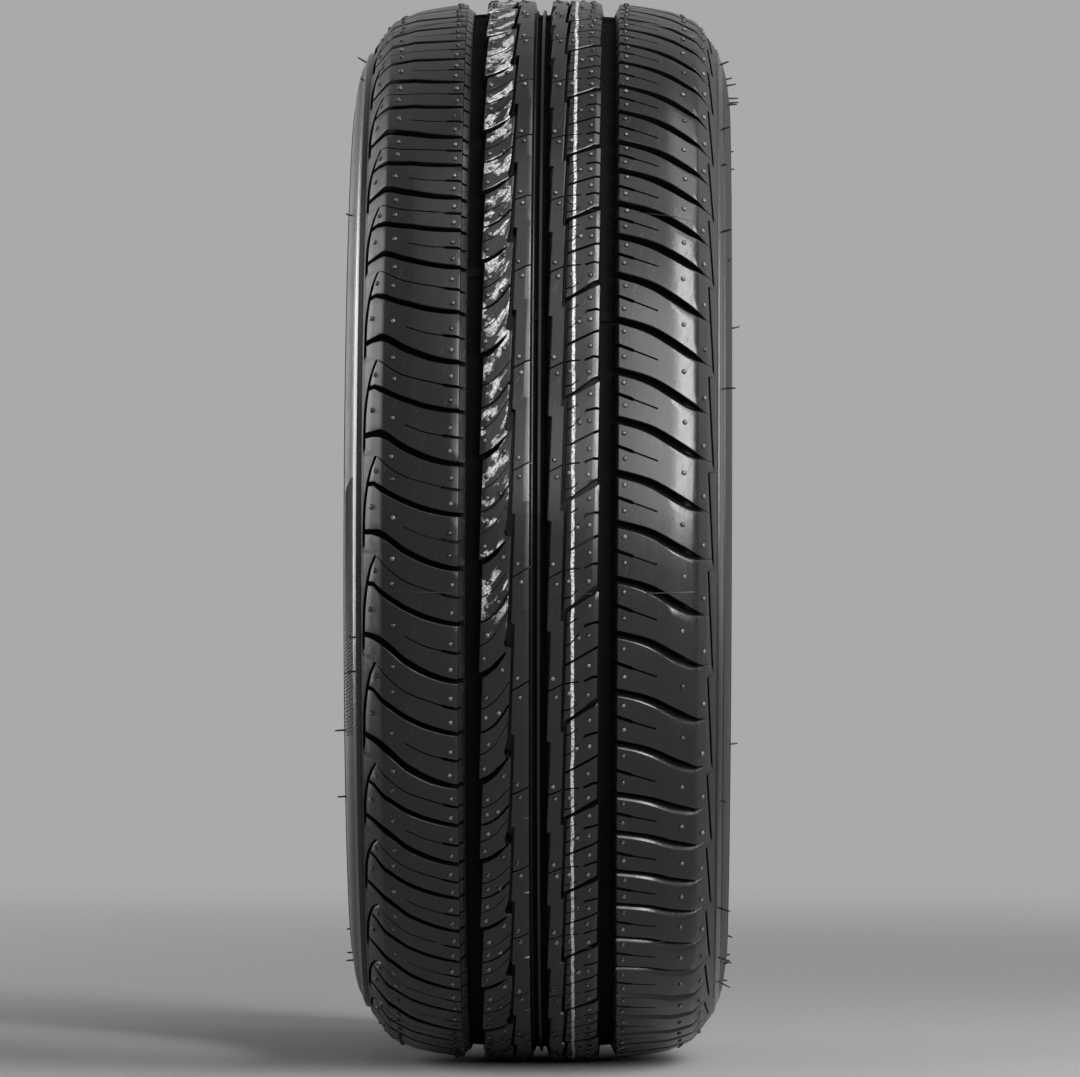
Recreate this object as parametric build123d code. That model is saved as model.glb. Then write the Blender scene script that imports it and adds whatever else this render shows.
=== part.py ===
from build123d import *
import os
from math import cos, radians, sin

# A 215/55 R16 car tyre, moulded in one piece. Millimetres. The wheel spins about +Y, +Z is up and the
# origin is the tyre's centre. The tread differs from side to side: -Y has the curved shoulder grooves.

# Driving dimensions of the carcass
OUTER_DIAMETER = 643.0
SECTION_WIDTH = 226.0
RIM_DIAMETER = 405.6
RIM_WIDTH = 177.8
SEAT_WIDTH = 13.0
SEAT_RISE = 1.2
HEEL_CHAMFER = 5.0
FLANGE_HEIGHT = 11.0
SIDEWALL_GAUGE = 10.0
CROWN_GAUGE = 17.0

# Driving dimensions of the tread. The buttress is the slope between the tread and the sidewall.
TREAD_HALF_WIDTH = 90.5
TREAD_DROP = 12.1
BUTTRESS_WIDTH = 12.5
BUTTRESS_FALL = 16.9
TREAD_DEPTH = 8.4
SLIT_DEPTH = 6.0
LATERAL_WIDTH = 3.6
LATERAL_DEPTH = 7.6
LATERAL_EDGE_DEPTH = 6.0
LATERAL_END_DEPTH = 2.5

# Grooves that run round the tread: left edge, left foot, right foot, right edge
LEFT_GROOVE = (-47.5, -43.2, -35.8, -34.6)
CENTRE_GROOVE = (-6.5, -4.0, 1.8, 4.3)
RIGHT_GROOVE = (31.6, 32.8, 40.6, 44.5)
LEFT_SLIT = (-18.0, -15.5)
RIGHT_SLIT = (12.7, 15.0)

# Lengths of the small, middle, large and extra large pitch relative to each other, and their order round
# the tyre. The first pitch starts at this angle above +X, and the pitches follow each other downwards there.
PITCH_SHARE = {"S": 8.8, "M": 9.85, "L": 10.85, "X": 11.9}
PITCH_ORDER = "MSSLLLXXMMLL" + "SMLMSMMLSMLM" + "SMLMSMMXSMSM"
FIRST_PITCH_ANGLE = 56.2

# Shoulder grooves start at these shares of each pitch. A course is a list of places outwards, where 0 is
# the tread's middle, 1 its edge and 2 the foot of the buttress, each with the share of pitch moved along.
LEFT_PHASES = (0.0, 0.48)
LEFT_COURSE = ((0.464, 0.0), (0.75, -0.09), (1.0, -0.4), (1.8, -0.42))
RIGHT_PHASES = (-0.01, 0.48)
RIGHT_COURSE = ((0.42, 0.0), (1.52, 0.45))

outer_radius = OUTER_DIAMETER / 2
seat_radius = RIM_DIAMETER / 2
half_width = SECTION_WIDTH / 2
heel = RIM_WIDTH / 2
seat_edge = heel - HEEL_CHAMFER
toe = seat_edge - SEAT_WIDTH


def crown(y):
    """Radius of the tread surface: its drop grows with the cube of the distance from the middle."""
    return outer_radius - TREAD_DROP * abs(y / TREAD_HALF_WIDTH) ** 3


def shoulder(place):
    """Distance from the middle and radius at a place from 0, the tread's middle, to 2, the buttress foot."""
    if place <= 1:
        y = place * TREAD_HALF_WIDTH
        return y, crown(y)
    beyond = place - 1
    return TREAD_HALF_WIDTH + beyond * BUTTRESS_WIDTH, crown(TREAD_HALF_WIDTH) - beyond * BUTTRESS_FALL


def groove(edges):
    """Outline of a groove with a flat floor that runs round the tread."""
    left, left_foot, right_foot, right = edges
    return [
        (left, crown(left)),
        (left_foot, crown(left_foot) - TREAD_DEPTH),
        (right_foot, crown(right_foot) - TREAD_DEPTH),
        (right, crown(right)),
    ]


def slit(edges):
    """Outline of a narrow V groove that runs round the tread."""
    left, right = edges
    middle = (left + right) / 2
    return [(left, crown(left)), (middle, crown(middle) - SLIT_DEPTH), (right, crown(right))]


def side(sign):
    """Outline of one side: tread edge, buttress, sidewall and bead, then up the inside to the crown."""
    height = outer_radius - seat_radius
    belly = seat_radius + 0.457 * height
    foot_half, foot = shoulder(2)
    flange = seat_radius + 0.17 * height
    flange_half = heel + 0.13 * height
    lining = half_width - SIDEWALL_GAUGE
    points = [
        shoulder(1),
        (foot_half, foot),
        # The sidewall swells to its full width at the belly along two parabolas.
        (half_width - 0.25 * (half_width - foot_half), (foot + belly) / 2),
        (half_width, belly),
        (half_width - 0.25 * (half_width - flange_half), (flange + belly) / 2),
        (flange_half, flange),
        # The bead has a face for the rim flange, a heel and a base that carries the seat.
        (heel + 1, seat_radius + FLANGE_HEIGHT),
        (heel, seat_radius + HEEL_CHAMFER),
        (seat_edge, seat_radius + SEAT_RISE),
        (toe, seat_radius + SEAT_RISE),
        (toe, seat_radius + 3 * SEAT_RISE),
        # Inside, the bead's filler tapers into the sidewall, which leans over into the crown.
        (lining, belly),
        (lining - 0.04 * height, belly + 0.2 * height),
        (TREAD_HALF_WIDTH - 0.2 * height, outer_radius - CROWN_GAUGE),
    ]
    return [(sign * y, r) for y, r in points]


def pitches():
    """Start angle and length of each pitch in degrees."""
    scale = 360 / sum(PITCH_SHARE[letter] for letter in PITCH_ORDER)
    start = FIRST_PITCH_ANGLE
    found = []
    for letter in PITCH_ORDER:
        length = scale * PITCH_SHARE[letter]
        found.append((start, length))
        start -= length
    return found


def facet_ring(outline):
    """The outline turned about Y in flat facets, two to a pitch, which stay within 0.45 mm of a circle."""
    angles = [radians(start - half * length / 2) for start, length in pitches() for half in (0, 1)]
    stations = [[Vector(r * cos(a), y, r * sin(a)) for y, r in outline] for a in angles]
    faces = []
    for here, there in zip(stations, stations[1:] + stations[:1]):
        for i in range(len(outline)):
            faces.append(Face(Wire.make_polygon((here[i - 1], here[i], there[i], there[i - 1]))))
    return Solid(Shell(faces))


def carcass():
    """The hollow ring, with the grooves and slits that run round its tread."""
    outline = side(-1)[::-1]
    outline += groove(LEFT_GROOVE) + slit(LEFT_SLIT) + groove(CENTRE_GROOVE)
    outline += slit(RIGHT_SLIT) + groove(RIGHT_GROOVE)
    outline += side(1)
    return facet_ring(outline)


def seat(sign):
    """The round land inside one bead that grips the rim, sunk into the bead's base."""
    land = Circle(seat_radius + 2 * SEAT_RISE) - Circle(seat_radius)
    inner_end = toe if sign > 0 else -seat_edge
    return extrude(Plane((0, inner_end, 0), (1, 0, 0), (0, 1, 0)) * land, SEAT_WIDTH)


def lateral_groove(course, sign, pitch):
    """Cutter for a shoulder groove that starts at the top of the tyre: a blade with a floor below it."""
    travel = radians(pitch) * outer_radius
    middle = course[-1][1] / 2
    spine = [(travel * (share - middle), sign * shoulder(place)[0]) for place, share in course]
    near = [(x - LATERAL_WIDTH / 2, y) for x, y in spine]
    far = [(x + LATERAL_WIDTH / 2, y) for x, y in spine]
    blade = extrude(make_face(Polyline(*near, *far[::-1], close=True)), 2 * outer_radius)
    floor = []
    depths = (LATERAL_DEPTH, LATERAL_EDGE_DEPTH, LATERAL_END_DEPTH)
    for place, depth in zip((course[0][0], 1, course[-1][0]), depths):
        y, r = shoulder(place)
        floor.append((sign * y, r - depth))
    above = outer_radius + TREAD_DEPTH
    room = make_face(Polyline(*floor, (floor[-1][0], above), (floor[0][0], above), close=True))
    return (blade & extrude(Plane.YZ * room, outer_radius, both=True)).rotate(Axis.Y, middle * pitch)


def shoulder_cutters(course, sign, phases):
    """The shoulder groove's cutter at each of its phases in every pitch, scaled along with the pitch."""
    cutters = []
    for start, length in pitches():
        cutter = lateral_groove(course, sign, length)
        cutters += [cutter.rotate(Axis.Y, 90 - start + phase * length) for phase in phases]
    return cutters


def tyre():
    """The ring with both shoulders cut and both seats added."""
    cutters = shoulder_cutters(LEFT_COURSE, -1, LEFT_PHASES) + shoulder_cutters(RIGHT_COURSE, 1, RIGHT_PHASES)
    return carcass() - cutters + [seat(-1), seat(1)]


os.makedirs("parts", exist_ok=True)
export_step(tyre(), "parts/tyre.step")
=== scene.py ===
# %% [markdown]
# # A car tyre, moulded in one piece
# The photograph looks straight at the tread of a 215/55 R16 tyre that stands upright. Almost all of its
# character is in the tread: three wide grooves and two narrow ones run round it, and curved grooves and
# fine slits cross its ribs. We load the measured frame first, so that every piece lands where it belongs.

import math

import bpy
import numpy as np
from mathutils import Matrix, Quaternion, Vector


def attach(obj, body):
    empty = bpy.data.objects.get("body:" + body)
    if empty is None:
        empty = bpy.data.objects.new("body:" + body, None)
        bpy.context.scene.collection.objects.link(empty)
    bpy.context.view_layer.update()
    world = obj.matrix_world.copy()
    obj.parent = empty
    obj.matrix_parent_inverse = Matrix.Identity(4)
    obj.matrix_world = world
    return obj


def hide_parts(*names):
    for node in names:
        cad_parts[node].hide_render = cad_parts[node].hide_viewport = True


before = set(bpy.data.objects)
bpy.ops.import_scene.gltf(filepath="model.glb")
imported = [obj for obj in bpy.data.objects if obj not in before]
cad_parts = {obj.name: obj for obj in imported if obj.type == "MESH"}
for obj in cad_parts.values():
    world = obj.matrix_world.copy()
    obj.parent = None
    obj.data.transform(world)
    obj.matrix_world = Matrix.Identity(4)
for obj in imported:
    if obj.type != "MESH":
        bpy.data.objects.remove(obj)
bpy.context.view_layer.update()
MM = 0.001

# %% [markdown]
# ## Camera
# The picture was taken from far away with a long lens, at the height of the axle, half a degree off the
# tyre's middle plane. A camera could be placed by eye, but two numbers fix it here: how far away it is,
# which sets how fast the pitches shrink towards the top, and how many millimetres a pixel covers.

# %% Camera
PHOTO_WIDTH = 1080
PHOTO_HEIGHT = 1077
MM_PER_PIXEL = 0.608
TYRE_CENTRE_PIXEL = (545.0, 530.75)
CAMERA_DISTANCE = 5.95
CAMERA_TURN = math.radians(0.5)
CAMERA_ROLL = math.radians(0.2)
SENSOR_WIDTH = 36.0

aim = Vector((
    0.0,
    (PHOTO_WIDTH / 2 - TYRE_CENTRE_PIXEL[0]) * MM_PER_PIXEL * MM,
    (TYRE_CENTRE_PIXEL[1] - PHOTO_HEIGHT / 2) * MM_PER_PIXEL * MM,
))
camera_data = bpy.data.cameras.new("camera")
camera_data.sensor_width = SENSOR_WIDTH
camera_data.lens = SENSOR_WIDTH * CAMERA_DISTANCE / (PHOTO_WIDTH * MM_PER_PIXEL * MM)
camera = bpy.data.objects.new("camera", camera_data)
bpy.context.scene.collection.objects.link(camera)
camera.location = CAMERA_DISTANCE * Vector((math.cos(CAMERA_TURN), math.sin(CAMERA_TURN), 0))
camera.rotation_mode = "QUATERNION"
look = (aim - camera.location).to_track_quat("-Z", "Y")
camera.rotation_quaternion = look @ Quaternion((0, 0, 1), CAMERA_ROLL)
bpy.context.scene.camera = camera
print("lens in mm:", round(camera_data.lens, 1))

# %% [markdown]
# ## A pencil for shader nodes
# A finish is a formula over the surface, and a formula is easier to read as arithmetic than as a list of
# nodes and links. This small class holds one socket. Adding, multiplying or dividing it places a Math
# node, and every other kind of node comes from the one method called node.

# %% Shader pencil
class Wire:
    """One output socket of a node tree, with arithmetic that adds Math nodes."""

    def __init__(self, tree, socket=None):
        self.tree = tree
        self.socket = socket

    def node(self, kind, settings, sockets, output=0):
        """A node of this kind: its settings first, then its sockets as values or wires."""
        made = self.tree.nodes.new(kind)
        for name, value in settings.items():
            setattr(made, name, value)
        for name, value in sockets.items():
            if isinstance(value, Wire):
                self.tree.links.new(value.socket, made.inputs[name])
            else:
                made.inputs[name].default_value = value
        return Wire(self.tree, made.outputs[output] if made.outputs else None)

    def other(self, output):
        """Another output of the same node."""
        return Wire(self.tree, self.socket.node.outputs[output])

    def math(self, operation, *others):
        """A Math node on this value and the others."""
        return self.node("ShaderNodeMath", {"operation": operation}, dict(enumerate((self, *others))))

    def __add__(self, other):
        return self.math("ADD", other)

    __radd__ = __add__

    def __sub__(self, other):
        return self.math("SUBTRACT", other)

    def __rsub__(self, other):
        return self * -1 + other

    def __mul__(self, other):
        return self.math("MULTIPLY", other)

    __rmul__ = __mul__

    def __truediv__(self, other):
        return self.math("DIVIDE", other)

    def __pow__(self, other):
        return self.math("POWER", other)

    def __abs__(self):
        return self.math("ABSOLUTE")

    def __lt__(self, other):
        return self.math("LESS_THAN", other)

    def __gt__(self, other):
        return self.math("GREATER_THAN", other)

    def rise(self, low, high):
        """0 below low, 1 above high and a soft ramp between them."""
        return self.node(
            "ShaderNodeMapRange",
            {"interpolation_type": "SMOOTHSTEP"},
            {"Value": self, "From Min": low, "From Max": high},
        )

    def inside(self, low, high, soft):
        """1 between low and high, with soft edges."""
        return self.rise(low - soft, low + soft) * (1 - self.rise(high - soft, high + soft))


def new_finish(name):
    """An empty material and the wire that starts its formula."""
    material = bpy.data.materials.new(name)
    material.use_nodes = True
    tree = material.node_tree
    tree.nodes.clear()
    return material, Wire(tree)


print("shader pencil ready")

# %% [markdown]
# ## Floor and background
# The tyre stands on a plain pale floor. The floor is a disc that fades out towards its rim, so that the
# pale background shows through there and no horizon cuts the picture. The background is only seen by the
# camera and in reflections; what it sheds on the tyre is weaker, because the softboxes do the lighting.

# %% Floor and background
OUTER_RADIUS = 321.5
FLOOR_RADIUS = 3.2
FLOOR_SIDES = 96
FLOOR_FADE = (0.7, 3.0)
FLOOR_COLOUR = (0.36, 0.36, 0.36, 1)
BACKGROUND_COLOUR = (0.40, 0.40, 0.40, 1)
AMBIENT_STRENGTH = 0.12


def new_piece(name, points, faces, smooth_below=None):
    """A mesh object from points in metres and faces; edges sharper than the angle stay crisp."""
    mesh = bpy.data.meshes.new(name)
    mesh.from_pydata(points.reshape(-1, 3).tolist(), [], faces)
    if smooth_below is not None:
        mesh.polygons.foreach_set("use_smooth", np.ones(len(mesh.polygons), bool))
        mesh.set_sharp_from_angle(angle=math.radians(smooth_below))
    mesh.update()
    piece = bpy.data.objects.new(name, mesh)
    bpy.context.scene.collection.objects.link(piece)
    return piece


rim_angle = np.linspace(0, 2 * np.pi, FLOOR_SIDES, endpoint=False)
rim_height = np.full_like(rim_angle, -OUTER_RADIUS * MM)
rim = np.stack([FLOOR_RADIUS * np.cos(rim_angle), FLOOR_RADIUS * np.sin(rim_angle), rim_height], axis=-1)
floor = new_piece("floor", rim, [list(range(len(rim)))])
floor_paint, pen = new_finish("pale_floor")
place = pen.node("ShaderNodeTexCoord", {}, {}, "Object")
from_tyre = pen.node("ShaderNodeVectorMath", {"operation": "LENGTH"}, {0: place}, "Value")
plain = pen.node("ShaderNodeBsdfDiffuse", {}, {"Color": FLOOR_COLOUR})
clear = pen.node("ShaderNodeBsdfTransparent", {}, {})
faded = pen.node("ShaderNodeMixShader", {}, {0: from_tyre.rise(*FLOOR_FADE), 1: plain, 2: clear})
pen.node("ShaderNodeOutputMaterial", {}, {"Surface": faded})
floor.data.materials.append(floor_paint)

world = bpy.data.worlds.new("studio")
bpy.context.scene.world = world
world.use_nodes = True
world.node_tree.nodes.clear()
pen = Wire(world.node_tree)
camera_ray = pen.node("ShaderNodeLightPath", {}, {}, "Is Camera Ray")
seen = camera_ray.math("MAXIMUM", camera_ray.other("Is Glossy Ray"))
seen = seen.math("MAXIMUM", camera_ray.other("Is Transmission Ray"))
shown = pen.node("ShaderNodeBackground", {}, {"Color": BACKGROUND_COLOUR, "Strength": 1.0})
ambient = pen.node("ShaderNodeBackground", {}, {"Color": BACKGROUND_COLOUR, "Strength": AMBIENT_STRENGTH})
blend = pen.node("ShaderNodeMixShader", {}, {0: seen, 1: ambient, 2: shown})
pen.node("ShaderNodeOutputWorld", {}, {"Surface": blend})
bpy.context.scene.view_settings.view_transform = "Standard"
print("floor height in mm:", -OUTER_RADIUS)

# %% [markdown]
# ## Light
# Black rubber shows its shape only by what it mirrors, so each softbox stands where the photograph has a
# gleam. A tall strip that leans lights the flank of the right shoulder, boxes beside the camera and above
# it the rest of the tread, and low ones beside and behind the tyre its slanted edges and sidewalls. Their
# power is set so that white paint comes out just below white.

# %% Light
def softbox(name, place, width, height, power, lean=0.0):
    """A rectangular area lamp at a place in metres that faces the tyre's centre, turned by lean degrees."""
    data = bpy.data.lights.new(name, "AREA")
    data.shape = "RECTANGLE"
    data.size = width
    data.size_y = height
    data.energy = power
    lamp = bpy.data.objects.new(name, data)
    bpy.context.scene.collection.objects.link(lamp)
    lamp.location = place
    lamp.rotation_mode = "QUATERNION"
    facing = (-Vector(place)).to_track_quat("-Z", "Y")
    lamp.rotation_quaternion = facing @ Quaternion((0, 0, 1), math.radians(lean))
    return lamp


softbox("strip_right", (1.38, 1.52, 1.1), 0.42, 2.5, 60, lean=-19)
softbox("box_right_front", (2.26, 1.2, 1.14), 1.1, 2.6, 34)
softbox("box_front_low", (2.66, 0.5, 0.75), 1.4, 1.1, 10)
softbox("box_front_top", (1.6, 0.2, 2.6), 2.4, 3.0, 17)
softbox("box_right_top", (-0.1, 1.35, 2.2), 1.2, 1.2, 11)
softbox("box_left_side", (-0.75, -2.0, 0.75), 1.2, 1.5, 16)
softbox("box_left_back", (-1.85, -1.55, 0.175), 1.2, 0.85, 15)
softbox("box_right_back", (-1.15, 2.0, 0.6), 1.2, 1.8, 6)

# %% [markdown]
# ## Pitches
# A tread repeats the same piece of pattern round the tyre, and makers vary its length between a few
# sizes so that the tyre hums on no single note. Here 36 pitches come in four sizes. A place on the tyre
# is counted in pitches down its front, and one function turns that count into an angle, so a groove
# drawn once stretches with its pitch.

# %% Pitches
PITCH_SHARE = {"S": 8.8, "M": 9.85, "L": 10.85, "X": 11.9}
PITCH_ORDER = "MSSLLLXXMMLL" + "SMLMSMMLSMLM" + "SMLMSMMXSMSM"
FIRST_PITCH_ANGLE = math.radians(56.2)

pitch_turn = np.array([PITCH_SHARE[letter] for letter in PITCH_ORDER])
pitch_turn *= 2 * np.pi / pitch_turn.sum()
PITCHES = len(pitch_turn)
pitch_start = FIRST_PITCH_ANGLE - np.append(0, np.cumsum(pitch_turn))


def turn(count):
    """Angle above +X of a place counted in pitches: linear within each pitch, one lap after the last."""
    lap = np.floor(count / PITCHES)
    return np.interp(count - PITCHES * lap, np.arange(PITCHES + 1), pitch_start) - 2 * np.pi * lap


def eased(table):
    """A smooth line through a table of places and values: cubics that share a slope where they meet."""
    x, value = np.array(table, float).T
    slope = np.gradient(value, x)

    def line(at):
        i = np.clip(np.searchsorted(x, at) - 1, 0, len(x) - 2)
        step = x[i + 1] - x[i]
        t = np.clip((at - x[i]) / step, 0, 1)
        ends = value[i] * (1 + 2 * t) * (1 - t) ** 2 + value[i + 1] * t**2 * (3 - 2 * t)
        return ends + step * t * (1 - t) * (slope[i] * (1 - t) - slope[i + 1] * t)

    return line


def saw(count, start):
    """How far a place is past the last start in its pitch, from 0 to 1: the tooth of a saw."""
    return (count - start) % 1


print("pitches:", PITCHES, "of", np.unique(np.degrees(pitch_turn).round(1)), "degrees")

# %% [markdown]
# ## The tread's surface
# Before any groove is cut, the tread is a smooth ring. It is nearly flat in the middle, falls along its
# flanks and turns sharply down onto the buttress, the slope between tread and sidewall. The formula for
# that fall takes numbers or wires: it shapes the mesh, and later tells the finish how deep a place lies.

# %% Tread surface
TREAD_HALF_WIDTH = 90.5
LEFT_EDGE_WIDER = 1.2
TREAD_DROP = 12.1
FLANK_START = 77.0
CROWN_DROP = 6.6
CROWN_POWER = 2.6
FLANK_SLOPE = (TREAD_DROP - CROWN_DROP) / (TREAD_HALF_WIDTH - FLANK_START)
BUTTRESS_SLOPE = 1.352
EDGE_ROUNDING = 0.6


def tread_drop(y):
    """How far the surface lies below the crown in mm: the larger of a curve over the tread, which runs on
    straight along its flanks, and a straight buttress, with the corner between them rounded by a root."""
    away = abs(y)
    on_flank = away > FLANK_START
    curve = (away / FLANK_START * (1 - on_flank) + on_flank) ** CROWN_POWER
    crown = CROWN_DROP * curve + FLANK_SLOPE * (away - FLANK_START) * on_flank
    wider = LEFT_EDGE_WIDER * (y < 0)
    buttress = TREAD_DROP + FLANK_SLOPE * wider + BUTTRESS_SLOPE * (away - TREAD_HALF_WIDTH - wider)
    return (crown + buttress) / 2 + ((crown - buttress) ** 2 / 4 + EDGE_ROUNDING**2) ** 0.5


def ring_points(count, y, radius):
    """Points in metres at a count of pitches, a distance y from the middle and a radius, both in mm."""
    angle = turn(count)
    return MM * np.stack(np.broadcast_arrays(radius * np.cos(angle), y, radius * np.sin(angle)), axis=-1)


def on_tread(count, y, depth):
    """Points in metres that lie below the tread's surface by a depth in mm."""
    return ring_points(count, y, OUTER_RADIUS - tread_drop(y) - depth)


print("tread falls in mm at its edge:", round(float(tread_drop(TREAD_HALF_WIDTH)), 1))

# %% [markdown]
# ## The tread as bands
# Each rib is a band: a grid whose columns run round the tyre and whose rows cross the rib along the line
# of its grooves. The rows crowd together at a groove, one on each edge, one at each foot, so a crisp
# groove costs six rows. Cutting the grooves out of a smooth ring with booleans would also work, but it is
# slow and leaves ragged triangles, while a grid that follows the pattern stays clean.

# %% Rows of a band
GROOVE_DEPTH = 8.4
SLIT_DEPTH = 6.0
LIP = 0.45

# Rows of a cut: share of its half width, share of the lip, share of its depth. A step has no depth; its
# two rows hold a place where the columns jump.
GROOVE = np.array([(-1, -1, 0), (-1, 0, 0.05), (-0.85, 0, 1), (0.85, 0, 1), (1, 0, 0.05), (1, 1, 0)])
RAMPED = np.array([
    (-1, -1, 0), (-1, 0, 0.05), (-0.85, 0, 1), (0.45, 0, 1), (0.85, 0, 0.42), (1.6, 0, 0.04), (1.6, 1, 0),
])
SIPE = np.array([(-1, 0, 0), (-0.75, 0, 1), (0.75, 0, 1), (1, 0, 0)])
STEP = np.array([(-1, 0, 0), (1, 0, 0)])


def lay_rows(y, cuts):
    """Counts and depths of a band's rows at the columns y. A cut is its row shape, its course in pitches,
    its half width and its depth, each one value or one to a column. Between two cuts lies one more row."""
    travel = pitch_turn[:, None, None] * (OUTER_RADIUS - tread_drop(y))
    number = np.arange(PITCHES)[:, None, None]
    counts = []
    depths = []
    for shape, course, half, depth in cuts:
        share, lip, sunk = shape.T[..., None]
        rows = number + course + (share * half + lip * LIP) / travel
        counts.append(rows)
        depths.append(np.broadcast_to(sunk * depth, rows.shape))
    lap = np.zeros((PITCHES, 1, 1))
    lap[-1] = PITCHES
    following = [rows[:, :1] for rows in counts[1:]] + [np.roll(counts[0][:, :1], -1, axis=0) + lap]
    every_count = []
    every_depth = []
    for rows, depth, after in zip(counts, depths, following):
        between = (rows[:, -1:] + after) / 2
        every_count += [rows, between]
        every_depth += [depth, np.zeros_like(between)]
    return [np.concatenate(rows, axis=1).reshape(-1, len(y)) for rows in (every_count, every_depth)]


def tooth(count, start, first, fall):
    """Shift of a rib's edge in mm. In each pitch it jumps to first at the start and then falls evenly."""
    return first - fall * saw(count, start)


def across(start, end):
    """A line straight across a rib through two places, each a distance y and a count."""
    return lambda y: start[1] + (y - start[0]) / (end[0] - start[0]) * (end[1] - start[1])


bands = []


def add_band(name, count, y, depth):
    """Keeps a band's counts and points for the closed skin, and checks that no two rows cross."""
    lap = np.append(count, count[:1] + PITCHES, axis=0)
    assert (np.diff(lap, axis=0) > 0).all(), name
    bands.append((count, on_tread(count, y, depth)))
    print(name, "rows and columns:", count.shape)


print("row shapes ready, rows in a groove:", len(GROOVE))

# %% [markdown]
# ## Left shoulder
# Curved grooves sweep up from the left main groove and over the tread's edge. Between them lie a short
# slit and a long one, which turns round on the slanted buttress like a hockey stick and runs down it to
# the next. A course gives how far a cut has moved along the tyre, in pitches, at each distance from the
# middle. One curve for all would be shorter, but in the photograph each cut bends a little differently.

# %% Courses of the left shoulder
MAIN_RISE = eased([
    (-101.5, -0.35), (-96, -0.345), (-93, -0.335), (-90, -0.31), (-85, -0.25), (-80, -0.185), (-75, -0.138),
    (-70, -0.097), (-65, -0.062), (-60, -0.035), (-55, -0.015), (-47.75, 0), (-40, 0),
])
SECOND_RISE = eased([
    (-101.5, -0.33), (-98.5, -0.325), (-95, -0.295), (-93, -0.275), (-90, -0.24), (-85, -0.19),
    (-80, -0.145), (-75, -0.11), (-70, -0.075), (-65, -0.05), (-60, -0.03), (-55, -0.013), (-47.75, 0),
    (-40, 0),
])
LONG_RISE = eased([
    (-101.5, -0.355), (-94.5, -0.35), (-92, -0.31), (-90, -0.275), (-85, -0.205), (-80, -0.15),
    (-75, -0.115), (-70, -0.088), (-65, -0.067), (-60, -0.043), (-55, -0.02), (-47.75, 0), (-40, 0),
])
SHORT_RISE = eased([
    (-101.5, -0.33), (-90, -0.27), (-80, -0.155), (-75, -0.115), (-70, -0.077), (-65, -0.05), (-60, -0.032),
    (-55, -0.018), (-47.75, 0), (-40, 0),
])

# The stick: its distance from the middle at shares of a pitch past its start
STICK_START = -0.105
STICK = eased([
    (0, -94.8), (0.04, -96), (0.1, -97.5), (0.16, -98.5), (0.28, -100), (0.38, -100.9), (0.48, -101.5),
    (0.58, -101.9), (0.72, -102.1), (1, -102.2),
])
print("pitches that a left groove rises to the edge:", round(float(-MAIN_RISE(-TREAD_HALF_WIDTH)), 2))

# %% [markdown]
# ## Left shoulder's band
# The outermost columns follow the stick, so it stays one crisp line. One column follows the chamfer along
# the main groove, whose edge is cut like saw teeth. Every cut has its own width and depth at each column,
# and two steps hold the place where one stick ends and the next begins.

# %% Band of the left shoulder
MAIN_PHASE = 0.02
LONG_PHASE = 0.27
SECOND_PHASE = 0.505
SHORT_PHASE = 0.765
BUTTRESS_Y = -98.0
BUTTRESS_FOOT_Y = -103.4
STICK_COLUMNS = 6
STICK_LINES = np.array([-0.85, -0.5, 0.5, 0.85])
STICK_DEPTH = 2.4
STICK_ENDS = [0.009, 0.014, 0.9, 0.95]
CHAMFER_Y = -48.8
CHAMFER_FOOT_Y = -47.3
CHAMFER_TILT = 0.41
STEP_HALF = 0.25

inner = np.array([
    -93.6, -92.6, -91.6, -90.2, -87.6, -84, -81, -78.4, -77.4, -74, -69, -63.5, -57.2, -56, -52.5, CHAMFER_Y,
    CHAMFER_FOOT_Y, -46.9, -43.3, -42.4,
])
y = np.append(np.full(STICK_COLUMNS, BUTTRESS_Y), inner)
chamfer = y == CHAMFER_Y
chamfer_foot = y == CHAMFER_FOOT_Y
sink = np.interp(y, [CHAMFER_FOOT_Y, -46.9, -43.3, -42.4], [0, 2.6, 5.6, GROOVE_DEPTH])
main_depth = np.interp(inner, [-93.6, -87, -50, -46.9, -43.3], [5.2, 7.0, 7.6, 6.6, 5.6])
main_depth = np.append([0, 0, 0, 0, 2.4, 4.0], main_depth)
main_places = [-98, -95, -91, -88, -80, -70, -60, -47]
main_half = np.interp(y, main_places, [1.8, 2.3, 2.6, 2.5, 2.35, 2.15, 1.85, 1.5])
second_half = np.interp(y, [-98, -95, -91, -88, -70, -60, -47], [1.4, 1.8, 2.0, 1.85, 1.75, 1.6, 1.3])
long_depth = np.interp(inner, [-93.6, -57.2, -56], [3.0, 4.0, 5.5])
long_depth = np.append([0, 0, 2.2, 2.2, 2.2, 2.4], long_depth)
long_half = np.interp(y, [-57.2, -56], [0.45, 0.95])
short_depth = np.interp(y, [-78.4, -77.4, -57.2, -56], [0, 3.5, 3.5, 5.5])
short_half = np.interp(y, [-57.2, -56], [0.4, 0.95])
stick_end = np.interp(y, [-93, -88], [0.215, 0.165])
stick_start = np.interp(y, [-93, -88], [0.25, 0.2])
count, depth = lay_rows(y, [
    (GROOVE, MAIN_PHASE + MAIN_RISE(y), main_half, main_depth),
    (STEP, stick_end + LONG_RISE(y), STEP_HALF, 0),
    (STEP, stick_start + LONG_RISE(y), STEP_HALF, 0),
    (SIPE, LONG_PHASE + LONG_RISE(y), long_half, long_depth),
    (GROOVE, SECOND_PHASE + SECOND_RISE(y), second_half, main_depth),
    (SIPE, SHORT_PHASE + SHORT_RISE(y), short_half, short_depth),
])
along = saw(count[:, :STICK_COLUMNS], STICK_START)
stick = STICK(along)
y_here = np.tile(y, (len(count), 1))
y_here[:, 0] = BUTTRESS_FOOT_Y
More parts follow.
